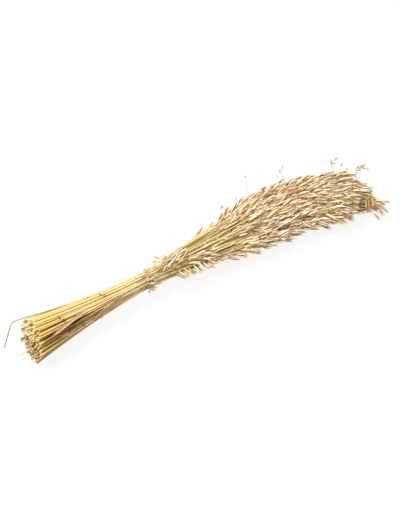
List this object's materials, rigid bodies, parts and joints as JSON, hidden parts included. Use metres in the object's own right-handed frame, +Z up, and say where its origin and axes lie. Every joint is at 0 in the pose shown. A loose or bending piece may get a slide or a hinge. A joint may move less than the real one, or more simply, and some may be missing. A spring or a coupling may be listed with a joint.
{
  "type": "bundle of dried oat straw",
  "caption": "Loose tied bunch of dried oat stalks lying down: hollow golden straws fan out below a band at the waist, and long pale heads of spikelets nod to one side.",
  "frame": {"origin": "on the table, under the middle of the bunch's bounding box", "axes": "+X along the bunch from the cut ends to the heads, +Z up from the table it lies on; the heads nod towards -Y"},
  "size_m": [0.7268, 0.1974, 0.0898],
  "materials": {
    "oat_straw": "satin",
    "dry_leaf": "matt",
    "thin_straw": "satin",
    "rubber": "matt"
  },
  "bodies": {
    "root": {"oat_stalk_01": "oat_straw", "oat_stalk_02": "oat_straw", "oat_stalk_03": "oat_straw", "oat_stalk_04": "oat_straw", "oat_stalk_05": "oat_straw", "oat_stalk_06": "oat_straw", "oat_stalk_07": "oat_straw", "oat_stalk_08": "oat_straw", "oat_stalk_09": "oat_straw", "oat_stalk_10": "oat_straw", "oat_stalk_11": "oat_straw", "oat_stalk_12": "oat_straw", "oat_stalk_13": "oat_straw", "oat_stalk_14": "oat_straw", "oat_stalk_15": "oat_straw", "oat_stalk_16": "oat_straw", "oat_stalk_17": "oat_straw", "oat_stalk_18": "oat_straw", "oat_stalk_19": "oat_straw", "oat_stalk_20": "oat_straw", "oat_stalk_21": "oat_straw", "oat_stalk_22": "oat_straw", "oat_stalk_23": "oat_straw", "oat_stalk_24": "oat_straw", "oat_stalk_25": "oat_straw", "oat_stalk_26": "oat_straw", "oat_stalk_27": "oat_straw", "oat_stalk_28": "oat_straw", "oat_stalk_29": "oat_straw", "oat_stalk_30": "oat_straw", "oat_stalk_31": "oat_straw", "oat_stalk_32": "oat_straw", "oat_stalk_33": "oat_straw", "oat_stalk_34": "oat_straw", "oat_stalk_35": "oat_straw", "oat_stalk_36": "oat_straw", "oat_stalk_37": "oat_straw", "oat_stalk_38": "oat_straw", "oat_stalk_39": "oat_straw", "oat_stalk_40": "oat_straw", "oat_stalk_41": "oat_straw", "oat_stalk_42": "oat_straw", "oat_stalk_43": "oat_straw", "oat_stalk_44": "oat_straw", "dry_leaf_1": "dry_leaf", "dry_leaf_2": "dry_leaf", "dry_leaf_3": "dry_leaf", "straw_whisker_1": "thin_straw", "straw_whisker_2": "thin_straw", "stray_straw": "oat_straw", "rubber_band": "rubber"}
  },
  "joints": []
}
